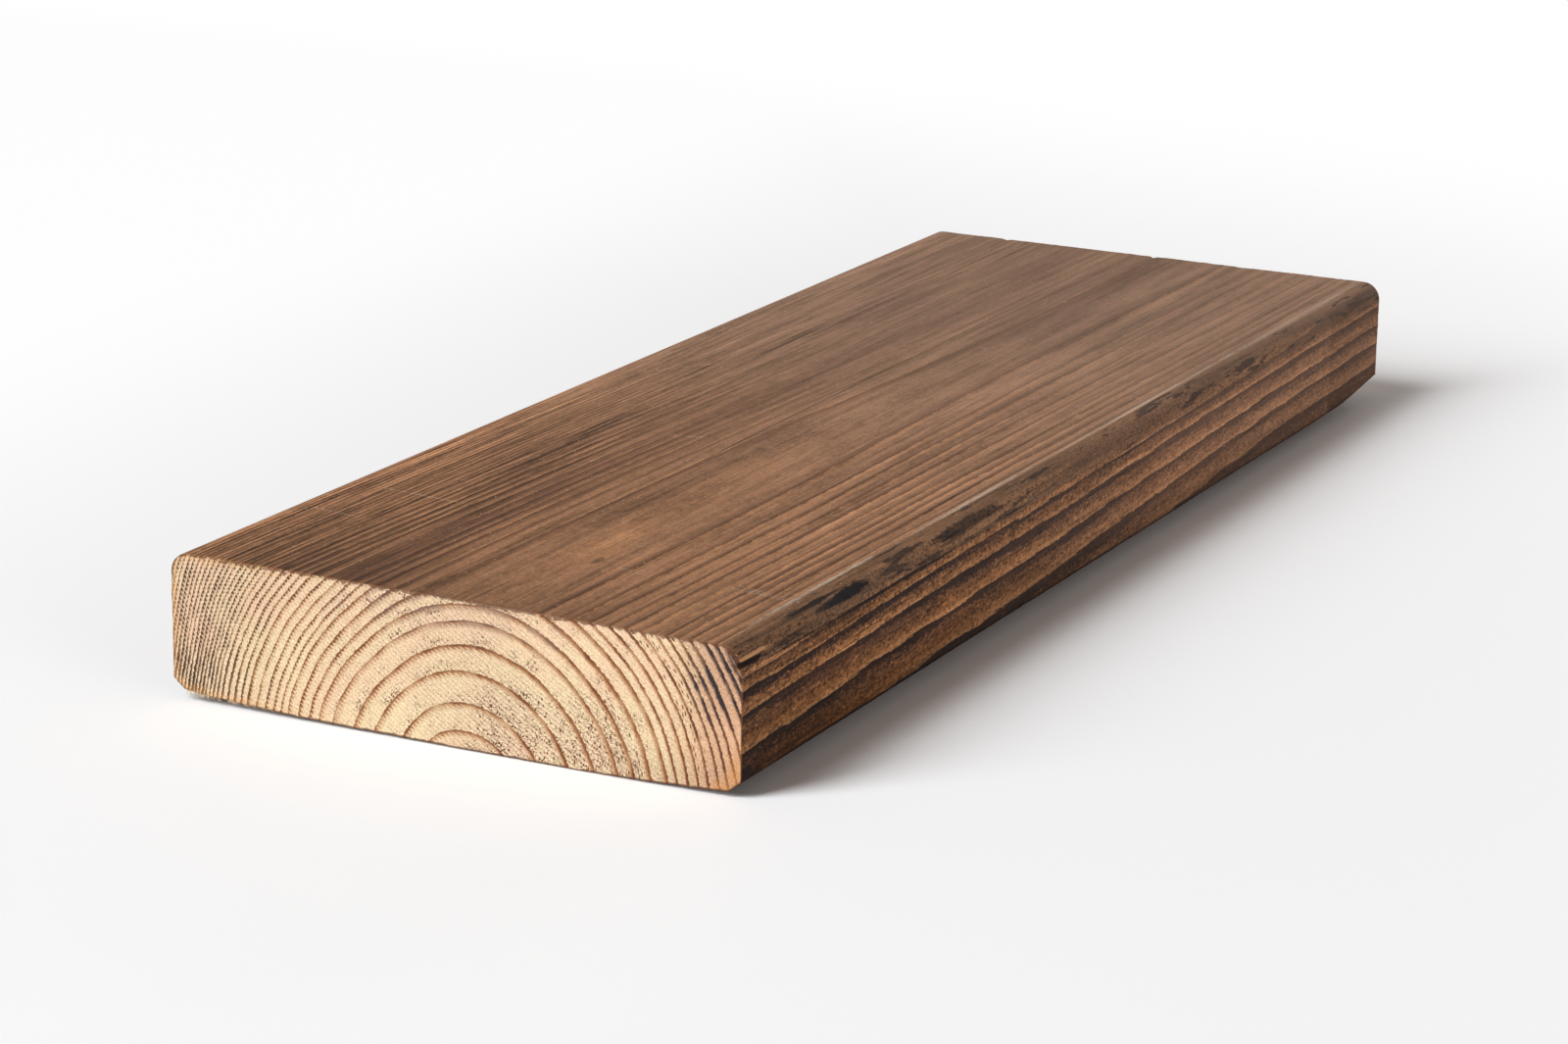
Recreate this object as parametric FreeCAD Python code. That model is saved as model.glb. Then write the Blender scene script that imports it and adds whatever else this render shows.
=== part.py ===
# Decking board: a short, square-sawn length of planed softwood, one solid.
# X runs across the board, Y along its length and Z up from the floor it lies on.
# The origin is at the middle of the underside.
import FreeCAD, Part
import math
import os

# Driving dimensions, in millimetres.
BOARD_WIDTH = 145.0
BOARD_THICKNESS = 34.0
BOARD_LENGTH = 400.0

# The two upper arrises are rounded over, so that the walking face sheds water and splinters less.
TOP_ARRIS_RADIUS = 5.0

# The two lower arrises are only taken off with a small bevel.
BEVEL_WIDTH = 3.0
BEVEL_HEIGHT = 2.5

# The underside has bowed as the board dried. It bears on a flat land along the middle,
# and lifts gently from the edges of that land to the bevels.
BEARING_LAND_WIDTH = 50.0
EDGE_LIFT = 1.6

NODE = "decking_board"
FRONT_END = -BOARD_LENGTH / 2


def section_point(x, z):
    """A point of the section, in the plane of the front end."""
    return FreeCAD.Vector(x, FRONT_END, z)


def line(start, end):
    """A straight edge of the section."""
    return Part.LineSegment(start, end).toShape()


def lift_arc(side):
    """The bowed stretch of the underside, tangent to the bearing land. Side is +1 for right, -1 for left."""
    land_edge = BEARING_LAND_WIDTH / 2
    reach = BOARD_WIDTH / 2 - BEVEL_WIDTH - land_edge
    radius = (reach**2 + EDGE_LIFT**2) / (2 * EDGE_LIFT)
    half_sweep = math.atan2(EDGE_LIFT, reach)
    middle_reach = radius * math.sin(half_sweep)
    middle_lift = radius * (1 - math.cos(half_sweep))
    return Part.Arc(
        section_point(side * land_edge, 0),
        section_point(side * (land_edge + middle_reach), middle_lift),
        section_point(side * (land_edge + reach), EDGE_LIFT),
    ).toShape()


def arris_arc(side):
    """The rounded upper arris, from the edge face to the walking face."""
    edge_x = BOARD_WIDTH / 2
    centre_x = edge_x - TOP_ARRIS_RADIUS
    centre_z = BOARD_THICKNESS - TOP_ARRIS_RADIUS
    diagonal = TOP_ARRIS_RADIUS * math.sqrt(0.5)
    return Part.Arc(
        section_point(side * edge_x, centre_z),
        section_point(side * (centre_x + diagonal), centre_z + diagonal),
        section_point(side * centre_x, BOARD_THICKNESS),
    ).toShape()


def half_section(side):
    """The section's edges on one side of the middle, from the bearing land up to the walking face."""
    edge_x = side * BOARD_WIDTH / 2
    bevel_foot = section_point(edge_x - side * BEVEL_WIDTH, EDGE_LIFT)
    bevel_top = section_point(edge_x, EDGE_LIFT + BEVEL_HEIGHT)
    arris_foot = section_point(edge_x, BOARD_THICKNESS - TOP_ARRIS_RADIUS)
    return [
        lift_arc(side),
        line(bevel_foot, bevel_top),
        line(bevel_top, arris_foot),
        arris_arc(side),
    ]


def board_section():
    """The closed section as one face."""
    land_edge = BEARING_LAND_WIDTH / 2
    face_edge = BOARD_WIDTH / 2 - TOP_ARRIS_RADIUS
    bearing_land = line(section_point(-land_edge, 0), section_point(land_edge, 0))
    walking_face = line(
        section_point(face_edge, BOARD_THICKNESS), section_point(-face_edge, BOARD_THICKNESS)
    )
    edges = [bearing_land, walking_face] + half_section(+1) + half_section(-1)
    return Part.Face(Part.Wire(Part.__sortEdges__(edges)))


def decking_board():
    """The section planed along the whole length, between two square saw cuts."""
    return board_section().extrude(FreeCAD.Vector(0, BOARD_LENGTH, 0))


def main():
    """Writes the board to its own STEP file."""
    os.makedirs("parts", exist_ok=True)
    board = decking_board()
    board.exportStep(os.path.join("parts", NODE + ".step"))
    box = board.BoundBox
    print(NODE, "valid", board.isValid(), "volume", round(board.Volume), "mm3")
    print("size", round(box.XLength, 3), round(box.YLength, 3), round(box.ZLength, 3), "mm")


main()
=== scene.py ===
"""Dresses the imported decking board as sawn, brown-stained pine and sets it on a pale studio floor."""
import logging
import math
from dataclasses import dataclass
from enum import Enum
from functools import lru_cache
from typing import Mapping, NamedTuple, Sequence, Union

import bmesh
import bpy
import numpy as np
from mathutils import Matrix, Vector
from mathutils.kdtree import KDTree


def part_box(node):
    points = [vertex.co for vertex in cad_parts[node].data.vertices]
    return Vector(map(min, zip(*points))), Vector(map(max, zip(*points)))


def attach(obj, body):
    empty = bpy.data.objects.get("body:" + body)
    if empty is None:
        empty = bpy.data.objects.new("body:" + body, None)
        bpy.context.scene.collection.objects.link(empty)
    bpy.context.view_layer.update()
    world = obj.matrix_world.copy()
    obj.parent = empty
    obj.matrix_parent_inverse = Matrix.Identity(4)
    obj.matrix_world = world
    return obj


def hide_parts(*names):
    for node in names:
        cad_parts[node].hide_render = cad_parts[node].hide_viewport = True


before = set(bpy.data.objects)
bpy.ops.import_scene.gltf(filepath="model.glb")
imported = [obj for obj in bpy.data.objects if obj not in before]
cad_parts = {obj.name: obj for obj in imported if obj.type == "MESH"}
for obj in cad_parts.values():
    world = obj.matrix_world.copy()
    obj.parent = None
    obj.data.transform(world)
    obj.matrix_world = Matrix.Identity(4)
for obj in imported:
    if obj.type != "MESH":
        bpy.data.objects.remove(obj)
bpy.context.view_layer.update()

log = logging.getLogger("decking_board")

MM = 0.001
NODE = "decking_board"
BODY = "root"
PHOTO_WIDTH_PX = 1600
SENSOR_WIDTH_MM = 36.0

Colour = tuple[float, float, float, float]
Place = tuple[float, float, float]
Socket = bpy.types.NodeSocket


class Face(Enum):
    """The finish that a face of the board wears, by its material index."""

    STAINED = 0
    SAWN = 1


class MarkKind(Enum):
    """What a mark leaves on the stain."""

    DARK = "dark"
    # Pale wear with a painted highlight on it.
    WORN_HIGHLIGHT = "worn"
    BARE = "bare"


def paint(red: int, green: int, blue: int) -> Colour:
    """Turn a colour as a screen shows it into linear light.

    Args:
        red: Red, 0 to 255.
        green: Green, 0 to 255.
        blue: Blue, 0 to 255.

    Returns:
        The linear colour, fully opaque.
    """
    shares = [channel / 255 for channel in (red, green, blue)]
    linear = [c / 12.92 if c <= 0.04045 else ((c + 0.055) / 1.055) ** 2.4 for c in shares]
    return (*linear, 1.0)


def smooth_step(start: float, end: float, amount: np.ndarray) -> np.ndarray:
    """Rise smoothly from 0 at start to 1 at end.

    Args:
        start: Where the rise begins.
        end: Where it is complete.
        amount: The values to map.

    Returns:
        The mapped values, each from 0 to 1.
    """
    share = np.clip((amount - start) / (end - start), 0.0, 1.0)
    return share * share * (3 - 2 * share)


class LatticeNoise:
    """Smooth random values on a lattice, the same on every run."""

    CELLS = 64

    def __init__(self, seed: int) -> None:
        """Fill the lattice from one seed."""
        self.lattice = np.random.RandomState(seed).uniform(-1.0, 1.0, (self.CELLS,) * 3)

    def at(self, places: np.ndarray, cell: Place) -> np.ndarray:
        """Read the noise at some places.

        Args:
            places: Points, one a row.
            cell: The size of a lattice cell on each axis.

        Returns:
            One value from -1 to 1 for each point.
        """
        grid = places / np.array(cell)
        low = np.floor(grid).astype(int)
        share = grid - low
        share = share * share * (3 - 2 * share)
        total = np.zeros(len(places))
        for corner in np.ndindex(2, 2, 2):
            weight = np.prod(np.where(np.array(corner) == 1, share, 1 - share), axis=1)
            total += weight * self.lattice[tuple(((low + corner) % self.CELLS).T)]
        return total


@lru_cache(maxsize=None)
def lattice(seed: int) -> LatticeNoise:
    """Give the noise of a seed, made once."""
    return LatticeNoise(seed)


class Sheet:
    """A shader's node tree, with one way to add a node to it."""

    def __init__(self, tree: bpy.types.NodeTree) -> None:
        """Start from an empty tree."""
        self.tree = tree
        tree.nodes.clear()

    def add(self, kind: str, settings: Mapping[str, object], sockets: Mapping) -> bpy.types.Node:
        """Add one node.

        Args:
            kind: The node's type.
            settings: Its own settings, which are set before its sockets.
            sockets: A value or a link for each input, by name or number.

        Returns:
            The node.
        """
        node = self.tree.nodes.new(kind)
        for name, setting in settings.items():
            setattr(node, name, setting)
        for key, given in sockets.items():
            if isinstance(given, Value):
                self.tree.links.new(given.socket, node.inputs[key])
            elif isinstance(given, Socket):
                self.tree.links.new(given, node.inputs[key])
            else:
                node.inputs[key].default_value = given
        return node

    def value(self, kind: str, settings: Mapping[str, object], sockets: Mapping, output: int = 0) -> "Value":
        """Add one node and read a number from it.

        Args:
            kind: The node's type.
            settings: Its own settings.
            sockets: A value or a link for each input.
            output: Which output gives the number.

        Returns:
            The number.
        """
        return Value(self, self.add(kind, settings, sockets).outputs[output])

    def attribute(self, name: str) -> "Value":
        """Read a number that the mesh carries."""
        node = self.add("ShaderNodeAttribute", {"attribute_name": name}, {})
        return Value(self, node.outputs["Fac"])

    def place(self) -> Socket:
        """Give the point on the board, in millimetres."""
        coordinates = self.add("ShaderNodeTexCoord", {}, {})
        return self.vector("SCALE", coordinates.outputs["Object"], Scale=1 / MM)

    def split(self, place: Socket) -> tuple["Value", "Value", "Value"]:
        """Part a point into its numbers across, along and up."""
        node = self.add("ShaderNodeSeparateXYZ", {}, {0: place})
        return Value(self, node.outputs[0]), Value(self, node.outputs[1]), Value(self, node.outputs[2])

    def join(self, across: "Number", along: "Number", up: "Number") -> Socket:
        """Make a point of three numbers."""
        return self.add("ShaderNodeCombineXYZ", {}, {0: across, 1: along, 2: up}).outputs[0]

    def vector(
        self, operation: str, first: object, second: object = None, **named: object
    ) -> Socket:
        """Work on vectors or colours.

        Args:
            operation: The Vector Math operation.
            first: The first vector.
            second: The second vector, where the operation has one.
            **named: Other inputs by name.

        Returns:
            The vector that comes out.
        """
        sockets: dict = {0: first, **named}
        if second is not None:
            sockets[1] = second
        return self.add("ShaderNodeVectorMath", {"operation": operation}, sockets).outputs[0]

    def mix(self, first: object, second: object, share: "Number") -> Socket:
        """Mix two colours.

        Args:
            first: The colour at a share of 0.
            second: The colour at a share of 1.
            share: How much of the second there is.

        Returns:
            The mixed colour.
        """
        settings = {"data_type": "RGBA", "clamp_factor": True}
        return self.add("ShaderNodeMix", settings, {0: share, 6: first, 7: second}).outputs[2]

    def shade(self, colour: object, level: "Value") -> Socket:
        """Lighten or darken a colour by a number."""
        return self.vector("SCALE", colour, Scale=level)

    def noise(self, place: object, stretch: Place, detail: float = 2.0, roughness: float = 0.5) -> "Value":
        """Read noise about 0.

        Args:
            place: The point, in millimetres.
            stretch: The size of a grain of the noise on each axis, in millimetres.
            detail: How many finer layers there are.
            roughness: How strong those are.

        Returns:
            A number from about -1 to 1.
        """
        scaled = self.vector("MULTIPLY", place, tuple(1 / size for size in stretch))
        sockets = {"Vector": scaled, "Scale": 1.0, "Detail": detail, "Roughness": roughness}
        return self.value("ShaderNodeTexNoise", {"noise_dimensions": "3D"}, sockets) * 4.0 - 2.0

    def cells(self, place: object, stretch: Place) -> "Value":
        """Scatter points at random.

        Args:
            place: The point on the board, in millimetres.
            stretch: How far apart they lie on each axis.

        Returns:
            The distance to the nearest of them, where 1 is as far as they lie apart.
        """
        scaled = self.vector("MULTIPLY", place, tuple(1 / size for size in stretch))
        sockets = {"Vector": scaled, "Scale": 1.0, "Randomness": 1.0}
        return self.value("ShaderNodeTexVoronoi", {"voronoi_dimensions": "3D"}, sockets)

    def spots(
        self, run: "Value", rise: "Value", spacing: float, pitch: float
    ) -> tuple["Value", "Value", "Value"]:
        """Lay spots in rows that are set off from each other at random.

        Args:
            run: The distance along the rows, in millimetres.
            rise: The distance across the rows.
            spacing: From one spot of a row to the next.
            pitch: From one row to the next.

        Returns:
            The distances from the nearest spot along and across its row, and a random number of its own.
        """
        row = rise / pitch
        column = run / spacing + self.random(row.floor()) * 13.0
        chance = self.random(column.floor() + row.floor() * 61.7)
        return (column.fraction() - 0.5) * spacing, (row.fraction() - 0.5) * pitch, chance

    def scratch(self, place: object, start: Place, end: Place, half_width: float) -> "Value":
        """Draw a fine line that fades at its ends.

        Args:
            place: The point on the board, in millimetres.
            start: Where the line starts.
            end: Where it ends.
            half_width: Half its width.

        Returns:
            1 on the line and 0 away from it.
        """
        way = tuple(b - a for a, b in zip(start, end))
        length = math.sqrt(sum(step * step for step in way))
        away = self.vector("SUBTRACT", place, start)
        unit = tuple(step / length for step in way)
        run = self.value("ShaderNodeVectorMath", {"operation": "DOT_PRODUCT"}, {0: away, 1: unit}, 1)
        share = (run / length).limit()
        nearest = self.vector("SCALE", way, Scale=share)
        off = self.vector("SUBTRACT", away, nearest)
        gap = self.value("ShaderNodeVectorMath", {"operation": "LENGTH"}, {0: off}, 1)
        return gap.fall(half_width * 0.4, half_width) * (share * (1 - share) * 4).rise(0.0, 0.6)

    def away(self, place: object, middle: Place, reach: Place) -> "Value":
        """Give the distance from a place.

        Args:
            place: The point on the board, in millimetres.
            middle: The place.
            reach: How far something reaches from it on each axis.

        Returns:
            The distance, in shares of that reach.
        """
        off = self.vector("SUBTRACT", place, middle)
        shares = self.vector("MULTIPLY", off, tuple(1 / size for size in reach))
        return self.value("ShaderNodeVectorMath", {"operation": "LENGTH"}, {0: shares}, 1)

    def random(self, number: "Value") -> "Value":
        """Give a random number from 0 to 1 for each whole number."""
        return self.value("ShaderNodeTexWhiteNoise", {"noise_dimensions": "1D"}, {"W": number})

    def bump(self, height: "Value", depth: float, strength: float) -> Socket:
        """Give the normal of a surface with fine relief.

        Args:
            height: The relief, from 0 to 1.
            depth: How tall 1 is, in metres.
            strength: How much of it shows.

        Returns:
            The normal.
        """
        sockets = {"Strength": strength, "Distance": depth, "Height": height}
        return self.add("ShaderNodeBump", {}, sockets).outputs[0]

    def seen(self) -> "Value":
        """Tell what the eye sees from what only lights the board.

        Returns:
            1 to the eye, straight or through a reflection or clear matter, and 0 to other light.
        """
        ray = self.add("ShaderNodeLightPath", {}, {})
        straight = Value(self, ray.outputs["Is Camera Ray"])
        reflected = straight.greater(Value(self, ray.outputs["Is Glossy Ray"]))
        return reflected.greater(Value(self, ray.outputs["Is Transmission Ray"]))

    def surface(self, sockets: Mapping) -> Socket:
        """Make one surface of the given looks."""
        return self.add("ShaderNodeBsdfPrincipled", {}, sockets).outputs[0]

    def dress(self, sockets: Mapping) -> None:
        """End the tree in one surface."""
        self.add("ShaderNodeOutputMaterial", {}, {0: self.surface(sockets)})


class Value:
    """A number that varies over a surface. Arithmetic on it adds Math nodes."""

    def __init__(self, sheet: Sheet, socket: Socket) -> None:
        """Keep the tree and the socket that gives the number."""
        self.sheet = sheet
        self.socket = socket

    def math(self, operation: str, *inputs: "Number") -> "Value":
        """Add one Math node on the given inputs."""
        return self.sheet.value("ShaderNodeMath", {"operation": operation}, dict(enumerate(inputs)))

    def __add__(self, other: "Number") -> "Value":
        """Add."""
        return self.math("ADD", self, other)

    def __radd__(self, other: "Number") -> "Value":
        """Add, from the right."""
        return self.math("ADD", other, self)

    def __sub__(self, other: "Number") -> "Value":
        """Take away."""
        return self.math("SUBTRACT", self, other)

    def __rsub__(self, other: "Number") -> "Value":
        """Take this from another number."""
        return self.math("SUBTRACT", other, self)

    def __mul__(self, other: "Number") -> "Value":
        """Multiply."""
        return self.math("MULTIPLY", self, other)

    def __rmul__(self, other: "Number") -> "Value":
        """Multiply, from the right."""
        return self.math("MULTIPLY", other, self)

    def __truediv__(self, other: "Number") -> "Value":
        """Divide."""
        return self.math("DIVIDE", self, other)

    def __rtruediv__(self, other: "Number") -> "Value":
        """Divide another number by this."""
        return self.math("DIVIDE", other, self)

    def floor(self) -> "Value":
        """Round down."""
        return self.math("FLOOR", self)

    def fraction(self) -> "Value":
        """Keep what is past the whole number."""
        return self.math("FRACT", self)

    def sine(self) -> "Value":
        """Take the sine."""
        return self.math("SINE", self)

    def size(self) -> "Value":
        """Drop the sign."""
        return self.math("ABSOLUTE", self)

    def limit(self) -> "Value":
        """Keep within 0 and 1."""
        return self.lesser(1.0).greater(0.0)

    def hypot(self, other: "Value") -> "Value":
        """Give the length of two numbers at right angles."""
        return self.math("SQRT", self * self + other * other)

    def lesser(self, other: "Number") -> "Value":
        """Take the lesser of two numbers."""
        return self.math("MINIMUM", self, other)

    def greater(self, other: "Number") -> "Value":
        """Take the greater of two numbers."""
        return self.math("MAXIMUM", self, other)

    def rise(self, start: "Number", end: "Number") -> "Value":
        """Rise smoothly from 0 at start to 1 at end."""
        settings = {"interpolation_type": "SMOOTHSTEP", "clamp": True}
        return self.sheet.value("ShaderNodeMapRange", settings, {0: self, 1: start, 2: end, 3: 0.0, 4: 1.0})

    def fall(self, start: "Number", end: "Number") -> "Value":
        """Fall smoothly from 1 at start to 0 at end."""
        return 1 - self.rise(start, end)

    def between(self, start: "Number", full: "Number", fade: "Number", end: "Number") -> "Value":
        """Rise from 0 at start to 1 at full, and fall from 1 at fade to 0 at end."""
        return self.rise(start, full) * self.fall(fade, end)


Number = Union[Value, float]


def new_material(name: str) -> tuple[bpy.types.Material, Sheet]:
    """Make a material with an empty node tree.

    Args:
        name: The material's name.

    Returns:
        The material and its tree.
    """
    material = bpy.data.materials.new(name)
    material.use_nodes = True
    return material, Sheet(material.node_tree)


class RingReading(NamedTuple):
    """Where some points lie among the growth rings, in millimetres but for the ring's number."""

    number: np.ndarray
    width: np.ndarray
    radius: np.ndarray
    arc: np.ndarray


@dataclass(frozen=True)
class GrowthRings:
    """The tree's growth rings round a pith that runs along the board, just under it.

    The radii are of the outer edges of the rings, in millimetres, read towards the right and towards
    the left. Past the last of them the rings go on at an even width.
    """

    pith_across: float = 5.5
    pith_up: float = -9.0
    right_radii: tuple[float, ...] = (
        13.0, 19.4, 26.8, 33.0, 38.6, 42.5, 46.6, 50.5, 52.9, 55.8,
        58.3, 60.8, 63.3, 65.4, 67.5, 69.8, 72.6, 74.7, 76.2, 77.4,
    )
    left_radii: tuple[float, ...] = (
        14.0, 19.6, 26.3, 31.2, 36.6, 40.1, 42.6, 45.4, 48.2, 50.0,
        51.9, 54.1, 56.4, 59.0, 60.7, 62.5, 64.3, 66.0, 67.2, 68.3,
    )
    right_width: float = 1.6
    left_width: float = 0.98
    rings: int = 56
    # The close rings on the left open up towards the top, and taper towards the far end.
    close_ring: int = 17
    opening: float = 0.27
    opening_bearings: tuple[float, float] = (-78.0, -52.0)
    taper: float = 2.0
    taper_share: float = 0.5
    taper_bearings: tuple[float, float] = (-45.0, -8.0)
    # The bearing from upright, in degrees, over which the left radii give way to the right ones.
    left_bearing: float = -45.0
    right_bearing: float = 8.0
    # How far the pith has moved right and up at some distances from the front end.
    stations: tuple[float, ...] = (0.0, 100.0, 150.0, 220.0, 330.0, 400.0)
    moves_across: tuple[float, ...] = (0.0, 1.3, 1.5, 3.1, 4.7, 5.1)
    moves_up: tuple[float, ...] = (0.0, 0.3, -0.1, -1.4, -1.8, -1.6)
    bend: float = 25.0
    # The rings are not true circles: they swell and shrink a little.
    swell: float = 0.34
    swell_cell: Place = (17.0, 500.0, 17.0)
    swell_seed: int = 11
    ripple: float = 0.13
    ripple_cell: Place = (5.0, 60.0, 5.0)
    ripple_seed: int = 12

    def edges(self, radii: Sequence[float], width: float) -> np.ndarray:
        """Give the outer radius of every ring on one side.

        Args:
            radii: The radii that were read.
            width: The width of the rings past those.

        Returns:
            The radii, from the pith out.
        """
        more = self.rings - len(radii)
        return np.concatenate([radii, radii[-1] + width * np.arange(1, more + 1)])

    def drift(self, along: np.ndarray, moves: Sequence[float]) -> np.ndarray:
        """Give how far the pith has moved at some distances from the front end, with no sharp bends."""
        steps = (-self.bend, 0.0, self.bend)
        return np.mean([np.interp(along + step, self.stations, moves) for step in steps], axis=0)

    def at(self, places: np.ndarray, length: float) -> RingReading:
        """Find which ring each point lies in.

        Args:
            places: Points in millimetres, with 0 along at the front end.
            length: The board's length.

        Returns:
            The ring's number with the share of it that lies inside the point, its width, and the point's
            distances from the pith and round it.
        """
        across, along, up = places.T
        share = along / length
        middle = self.pith_across + self.drift(along, self.moves_across)
        low = self.pith_up + self.drift(along, self.moves_up)
        radius = np.hypot(across - middle, up - low)
        radius += self.swell * lattice(self.swell_seed).at(places, self.swell_cell)
        radius += self.ripple * lattice(self.ripple_seed).at(places, self.ripple_cell)
        bearing = np.arctan2(across - middle, up - low)
        degrees = np.degrees(bearing)
        tapered = smooth_step(0.0, self.taper_share, share)
        radius += self.taper * tapered * (1 - smooth_step(*self.taper_bearings, degrees))
        right = smooth_step(self.left_bearing, self.right_bearing, degrees)[:, None]
        opened = self.opening * np.clip(np.arange(self.rings) - self.close_ring, 0, None)
        left_edges = self.edges(self.left_radii, self.left_width)
        left_edges = left_edges + opened * smooth_step(*self.opening_bearings, degrees)[:, None]
        right_edges = self.edges(self.right_radii, self.right_width)
        edges = left_edges + right * (right_edges - left_edges)
        edges = np.hstack([np.zeros((len(places), 1)), edges])
        inner = np.clip((edges <= radius[:, None]).sum(1) - 1, 0, self.rings - 1)
        rows = np.arange(len(places))
        start = edges[rows, inner]
        width = edges[rows, inner + 1] - start
        return RingReading(inner + (radius - start) / width, width, radius, bearing * radius)


@dataclass(frozen=True)
class BoardSection:
    """The board's section across its length, in millimetres, standing on its underside."""

    width: float
    thickness: float
    arris_radius: float = 5.0
    bevel_width: float = 3.0
    bevel_height: float = 2.5
    land_width: float = 50.0
    edge_lift: float = 1.6
    fine: int = 40

    def arris(self, start: float, end: float) -> np.ndarray:
        """Draw the upper right arris, or a part of it.

        Args:
            start: The angle of its first point, in degrees from level.
            end: The angle of its last point.

        Returns:
            Its points.
        """
        angles = np.radians(np.linspace(start, end, self.fine))
        centre = np.array([self.width / 2 - self.arris_radius, self.thickness - self.arris_radius])
        return centre + self.arris_radius * np.stack([np.cos(angles), np.sin(angles)], 1)

    def underside(self) -> np.ndarray:
        """Draw the right of the underside: the flat land, and the bow that rises from it.

        Returns:
            Its points, from the middle to the bevel.
        """
        reach = self.width / 2 - self.bevel_width - self.land_width / 2
        radius = (reach**2 + self.edge_lift**2) / (2 * self.edge_lift)
        out = np.linspace(0, reach, self.fine)
        rise = np.stack([self.land_width / 2 + out, radius - np.sqrt(radius**2 - out**2)], 1)
        return np.vstack([[0.0, 0.0], rise])

    def bevel(self) -> np.ndarray:
        """Draw the lower right bevel.

        Returns:
            Its ends and its middle, from below.
        """
        low = np.array([self.width / 2 - self.bevel_width, self.edge_lift])
        high = low + (self.bevel_width, self.bevel_height)
        return np.array([low, (low + high) / 2, high])

    def sides(self, across: int, up: int) -> tuple[np.ndarray, np.ndarray, np.ndarray, np.ndarray]:
        """Give the four sides of the section, evenly divided, from arris to arris.

        Args:
            across: Divisions of the top and of the underside.
            up: Divisions of the right and of the left.

        Returns:
            The top and the underside from left to right, and the left and the right from the top down.
        """
        mirror = np.array([-1.0, 1.0])
        _, middle, high = self.bevel()
        top = self.arris(90, 45)
        top = np.vstack([top[::-1] * mirror, top])
        below = np.vstack([self.underside(), middle])
        below = np.vstack([below[:0:-1] * mirror, below])
        right = np.vstack([self.arris(45, 0), high, middle])
        return spaced(top, across), spaced(below, across), spaced(right * mirror, up), spaced(right, up)


def spaced(line: np.ndarray, parts: int) -> np.ndarray:
    """Divide a line evenly along its length.

    Args:
        line: Its points.
        parts: How many parts to divide it into.

    Returns:
        The points between the parts, with both ends.
    """
    run = np.concatenate([[0.0], np.cumsum(np.linalg.norm(np.diff(line, axis=0), axis=1))])
    stops = np.linspace(0, run[-1], parts + 1)
    return np.stack([np.interp(stops, run, line[:, axis]) for axis in range(line.shape[1])], 1)


@dataclass(frozen=True)
class Mark:
    """A mark on the board: where it is, in millimetres from the front end, and how far it reaches."""

    kind: MarkKind
    middle: Place
    reach: Place
    strength: float = 1.0


@dataclass(frozen=True)
class Nick:
    """A place where the arris of an end is torn away, measured across the board in millimetres."""

    across: float
    half_width: float
    depth: float


@dataclass(frozen=True)
class CornerCut:
    """The far lower right corner, knocked off, by how far the cut reaches up, along and across."""

    rise: float
    run: float
    reach: float

    def height(self, places: np.ndarray, width: float, length: float) -> np.ndarray:
        """Give the height of the cut at some points.

        Args:
            places: The points, in millimetres.
            width: The board's width.
            length: Its length.

        Returns:
            The heights, which are below 0 away from the corner.
        """
        along = length - places[..., 1]
        across = width / 2 - places[..., 0]
        return self.rise * (1 - along / self.run - across / self.reach)


@dataclass(frozen=True)
class Gap:
    """A gap under a splinter on the right side: its middle and half its height, its length and its depth."""

    up: float
    half_height: float
    length: float
    depth: float
    # How much of its height is left at its tip, where its walls slope, and where it closes, as shares.
    tip: float = 0.05
    walls: tuple[float, float] = (0.6, 1.3)
    closing: tuple[float, float] = (0.7, 1.0)

    def sunk(self, places: np.ndarray) -> np.ndarray:
        """Give how deep some points of the right side lie in the gap.

        Args:
            places: The points, in millimetres from the front end.

        Returns:
            The depths, which are 0 away from the gap.
        """
        half_height = self.half_height * np.clip(1 - places[..., 1] / self.length, self.tip, 1.0)
        inside = 1 - smooth_step(*self.walls, np.abs(places[..., 2] - self.up) / half_height)
        return self.depth * inside * (1 - smooth_step(*self.closing, places[..., 1] / self.length))


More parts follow.
